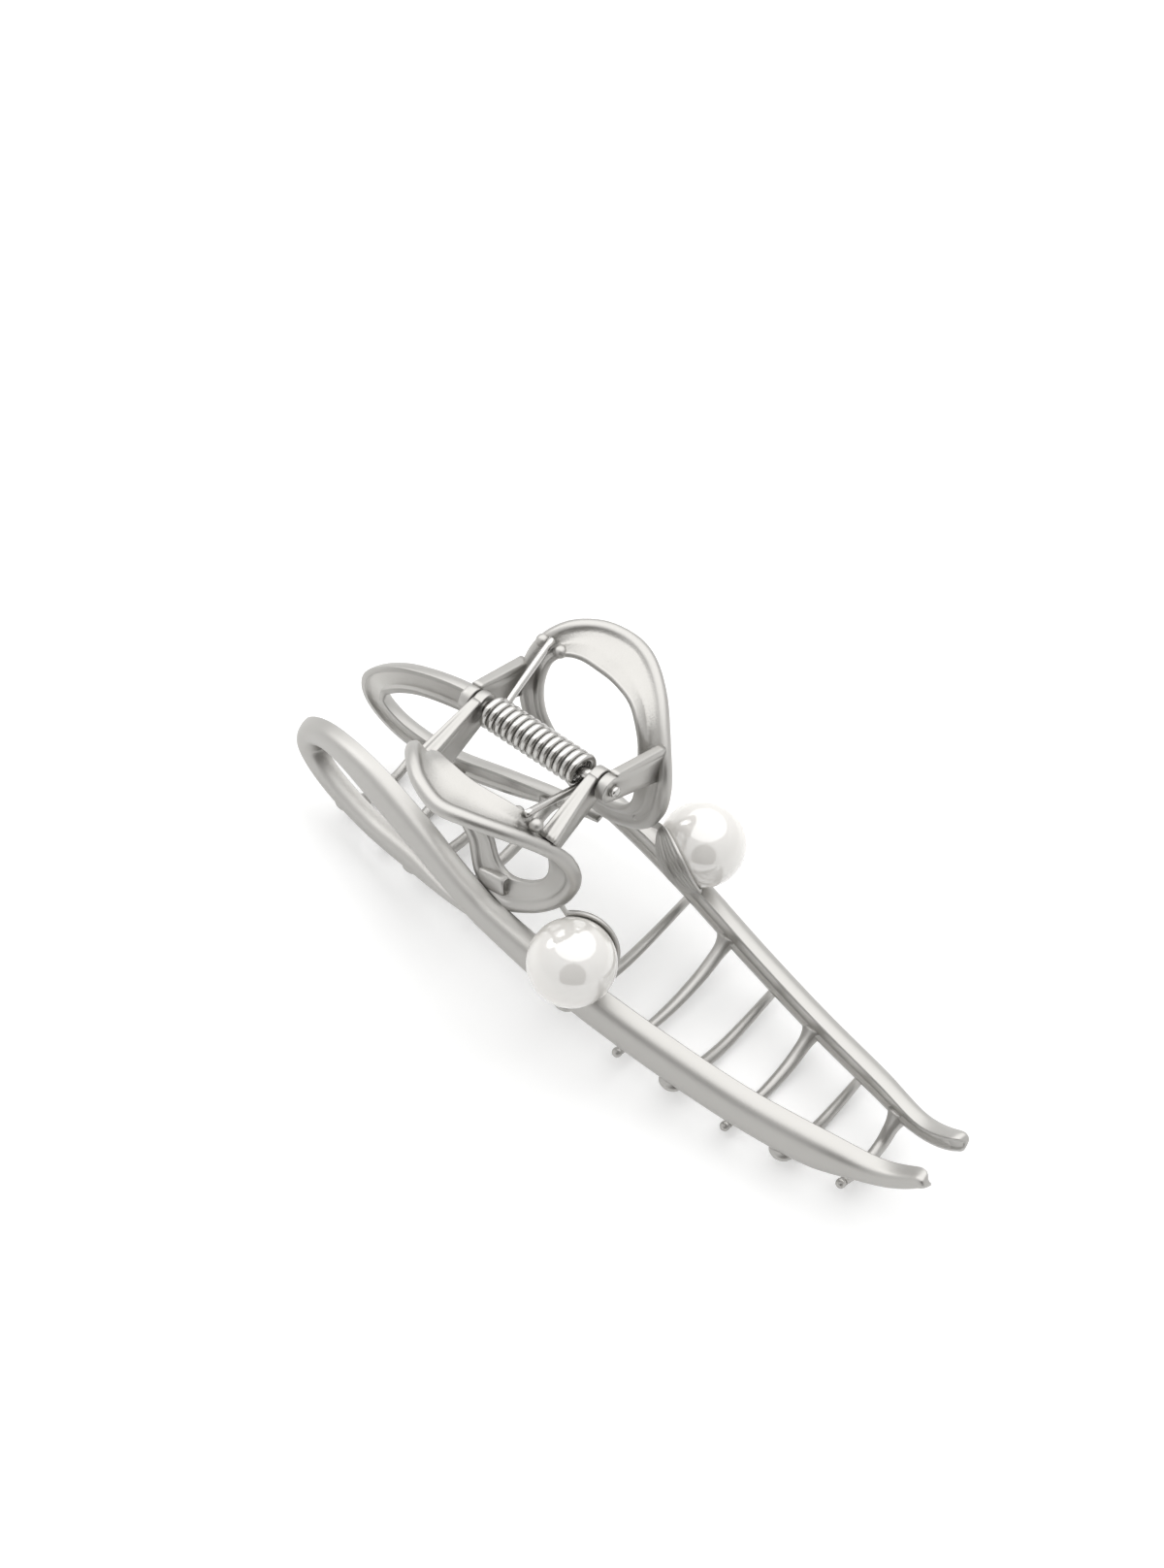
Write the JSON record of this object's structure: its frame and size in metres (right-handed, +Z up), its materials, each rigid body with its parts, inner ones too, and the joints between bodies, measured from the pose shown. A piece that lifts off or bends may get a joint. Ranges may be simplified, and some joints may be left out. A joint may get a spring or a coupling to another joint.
{
  "type": "alligator hair clip",
  "caption": "Metal claw hair clip: two looped jaws with interlocking teeth on a sprung hinge, ring-shaped press tabs, and a pearl on a leaf on each side.",
  "frame": {"origin": "middle of the bounding box in plan, on the surface the clip stands on", "axes": "+X along the clip towards the tips, +Y towards the rear half, +Z up; the hinge pin rises a little towards +X"},
  "size_m": [0.1096, 0.04, 0.0411],
  "materials": {
    "satin_metal": "satin silver plate over a cast alloy",
    "spring_wire": "plain drawn wire, lightly polished",
    "pearl": "glossy pearl coat"
  },
  "bodies": {
    "rear_half": {"rear_jaw": "satin_metal", "rear_teeth": "satin_metal", "rear_press_tab": "satin_metal", "rear_hinge_ears": "satin_metal", "rear_spring_stops": "satin_metal", "rear_leaf": "satin_metal", "rear_pearl": "pearl", "hinge_pin": "spring_wire", "torsion_spring": "spring_wire"},
    "front_half": {"front_jaw": "satin_metal", "front_teeth": "satin_metal", "front_press_tab": "satin_metal", "front_hinge_ears": "satin_metal", "front_spring_stops": "satin_metal", "front_leaf": "satin_metal", "front_pearl": "pearl"}
  },
  "joints": [
    {"name": "jaw_hinge", "type": "hinge", "parent": "rear_half", "child": "front_half", "pos_m": [-0.01776, 0, 0.03597], "axis": [-0.9943, 0, -0.1067], "range_deg": [0, 60], "stiffness_Nm_per_rad": 0.11, "springref_deg": -41.83, "deforming": ["torsion_spring"]}
  ]
}
